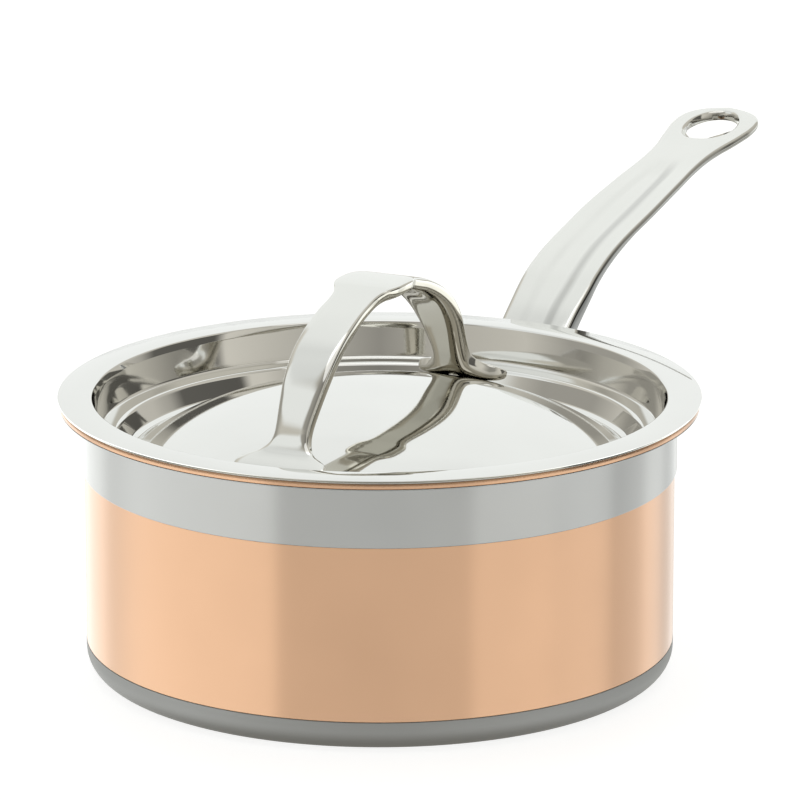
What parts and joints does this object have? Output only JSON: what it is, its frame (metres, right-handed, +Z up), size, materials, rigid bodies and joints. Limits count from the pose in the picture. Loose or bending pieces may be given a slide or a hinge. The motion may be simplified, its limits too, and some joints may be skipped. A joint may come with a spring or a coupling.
{
  "type": "saucepan with lid",
  "caption": "Small clad saucepan with a copper wall, steel rim band and base, cast long handle, and a lift-off domed lid with a cast arch handle.",
  "frame": {"origin": "centre of the flat base, on the surface the pan stands on", "axes": "+Z up, +Y along the long handle"},
  "size_m": [0.1742, 0.3296, 0.1087],
  "materials": {
    "steel_liner": "satin",
    "core": "satin",
    "copper": "fine brushed",
    "satin_steel": "satin",
    "cast_steel": "polished",
    "mirror_steel": "mirror polished"
  },
  "bodies": {
    "pan": {"inner_liner": "steel_liner", "aluminium_core": "core", "copper_shell": "copper", "rim_band": "satin_steel", "base_cup": "satin_steel", "long_handle": "cast_steel", "handle_rivet_left": "cast_steel", "handle_rivet_right": "cast_steel"},
    "lid": {"lid": "mirror_steel", "lid_handle": "cast_steel", "lid_rivet_front": "cast_steel", "lid_rivet_rear": "cast_steel"}
  },
  "joints": [
    {"name": "lid_lift", "type": "slide", "parent": "pan", "child": "lid", "axis": [0, 0, 1], "range_m": [0, 0.12]}
  ]
}
